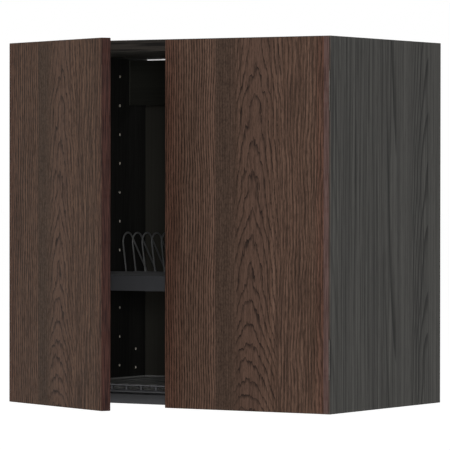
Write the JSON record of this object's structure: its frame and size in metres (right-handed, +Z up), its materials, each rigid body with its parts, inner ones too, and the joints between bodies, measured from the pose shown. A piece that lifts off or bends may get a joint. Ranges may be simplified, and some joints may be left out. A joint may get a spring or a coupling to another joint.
{
  "type": "dish drying cabinet",
  "caption": "Wall-hung dish drying cabinet with two veneered doors, a wire plate rack, a slotted glass tray and a drip tray.",
  "frame": {"origin": "middle of the top panel's rear edge, on the plane of the wall", "axes": "+Y goes back into the wall, +Z up, +X to the right seen from the front"},
  "size_m": [0.6063, 0.5136, 0.6],
  "materials": {
    "black_board": "dark grey foil with a fine wood grain, matt",
    "back_board": "dark hardboard, matt",
    "door_veneer": "dark reddish brown wood grain, satin",
    "dark_steel": "dark blue-grey powder coat",
    "grey_wire": "grey powder coat on wire",
    "tray_plastic": "dark grey moulded plastic",
    "zinc_steel": "zinc plated",
    "hinge_steel": "dark zinc plated"
  },
  "bodies": {
    "cabinet": {"side_panel_left": "black_board", "side_panel_right": "black_board", "top_panel": "black_board", "back_panel": "back_board", "rear_top_board": "black_board", "rear_bottom_rail": "black_board", "suspension_bracket_left": "zinc_steel", "suspension_bracket_right": "zinc_steel", "rack_front_rail": "dark_steel", "rack_rear_rail": "dark_steel", "rack_side_rail_left": "dark_steel", "rack_side_rail_right": "dark_steel", "bottom_front_rail": "dark_steel", "tray_runner_left": "dark_steel", "tray_runner_right": "dark_steel", "left_hinge_lower_carcass_leaf": "hinge_steel", "left_hinge_lower_pin": "hinge_steel", "left_hinge_upper_carcass_leaf": "hinge_steel", "left_hinge_upper_pin": "hinge_steel", "right_hinge_lower_carcass_leaf": "hinge_steel", "right_hinge_lower_pin": "hinge_steel", "right_hinge_upper_carcass_leaf": "hinge_steel", "right_hinge_upper_pin": "hinge_steel"},
    "left_door": {"left_door": "door_veneer", "left_hinge_lower_door_leaf": "hinge_steel", "left_hinge_upper_door_leaf": "hinge_steel"},
    "right_door": {"right_door": "door_veneer", "right_hinge_lower_door_leaf": "hinge_steel", "right_hinge_upper_door_leaf": "hinge_steel"},
    "plate_rack": {"plate_insert": "grey_wire", "plate_loop_01": "grey_wire", "plate_loop_02": "grey_wire", "plate_loop_03": "grey_wire", "plate_loop_04": "grey_wire", "plate_loop_05": "grey_wire", "plate_loop_06": "grey_wire", "plate_loop_07": "grey_wire", "plate_loop_08": "grey_wire", "plate_loop_09": "grey_wire", "plate_loop_10": "grey_wire", "plate_loop_11": "grey_wire", "plate_loop_12": "grey_wire", "plate_loop_13": "grey_wire", "plate_loop_14": "grey_wire", "plate_loop_15": "grey_wire", "plate_loop_16": "grey_wire", "plate_loop_17": "grey_wire", "plate_loop_18": "grey_wire", "plate_loop_19": "grey_wire", "plate_loop_20": "grey_wire", "plate_loop_21": "grey_wire", "plate_loop_22": "grey_wire", "plate_loop_23": "grey_wire", "plate_loop_24": "grey_wire", "plate_loop_25": "grey_wire", "plate_loop_26": "grey_wire", "plate_loop_27": "grey_wire"},
    "drip_tray": {"drip_tray": "tray_plastic"},
    "glass_tray": {"glass_tray": "dark_steel"}
  },
  "joints": [
    {"name": "left_door_hinge", "type": "hinge", "parent": "cabinet", "child": "left_door", "pos_m": [-0.2985, -0.371, -0.291], "axis": [0, 0, -1], "range_deg": [-25.3, 84.7]},
    {"name": "right_door_hinge", "type": "hinge", "parent": "cabinet", "child": "right_door", "pos_m": [0.2985, -0.371, -0.291], "axis": [0, 0, 1], "range_deg": [0, 110]},
    {"name": "plate_rack_lift", "type": "slide", "parent": "cabinet", "child": "plate_rack", "axis": [0, 0, 1], "range_m": [0, 0.2]},
    {"name": "drip_tray_lift", "type": "slide", "parent": "cabinet", "child": "drip_tray", "axis": [0, 0, 1], "range_m": [0, 0.04]},
    {"name": "glass_tray_lift", "type": "slide", "parent": "drip_tray", "child": "glass_tray", "axis": [0, 0, 1], "range_m": [0, 0.1]}
  ]
}
